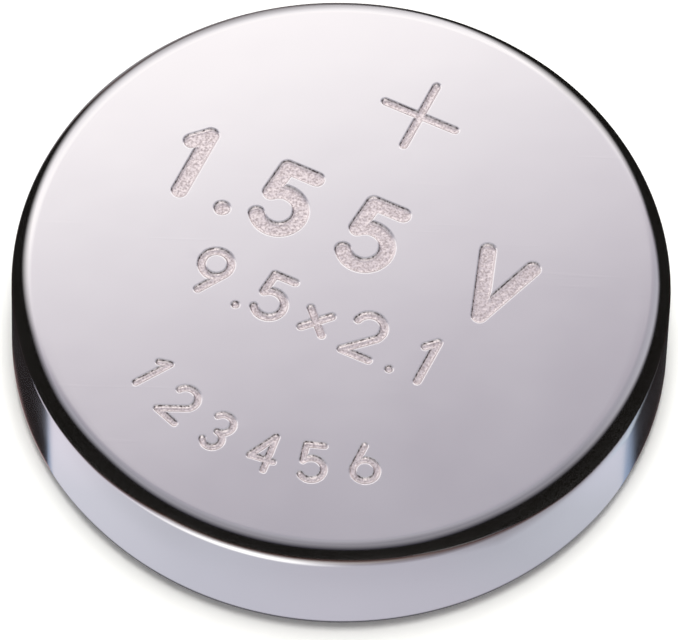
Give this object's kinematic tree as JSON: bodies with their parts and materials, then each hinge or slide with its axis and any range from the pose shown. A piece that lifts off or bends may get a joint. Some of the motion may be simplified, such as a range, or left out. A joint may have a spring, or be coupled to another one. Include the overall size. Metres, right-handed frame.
{
  "type": "silver oxide button cell",
  "caption": "Flat round button cell: a bright nickel plated steel can with a stamped positive face, crimped over a nylon gasket and a stepped negative cap.",
  "frame": {"origin": "centre of the negative contact face, on the surface that the cell rests on", "axes": "+Z along the cell's axis, from the negative contact to the positive face; +X to the right as the face is seen from the front"},
  "size_m": [0.0094, 0.0094, 0.0021],
  "materials": {
    "can_nickel_plate": "bright nickel plate on drawn steel",
    "cap_clad_sheet": "satin nickel face of clad sheet",
    "gasket_nylon": "natural moulded nylon",
    "silver_oxide": "pressed powder, matt black",
    "barrier_membrane": "grafted polyethylene film",
    "cellophane": "clear cellulose film",
    "nonwoven_pad": "soaked nonwoven fibre",
    "zinc_gel": "gelled zinc powder"
  },
  "bodies": {
    "root": {"positive_can": "can_nickel_plate", "negative_cap": "cap_clad_sheet", "gasket": "gasket_nylon", "cathode_pellet": "silver_oxide", "barrier_film": "barrier_membrane", "cellophane_film": "cellophane", "absorbent_pad": "nonwoven_pad", "zinc_anode": "zinc_gel"}
  },
  "joints": []
}
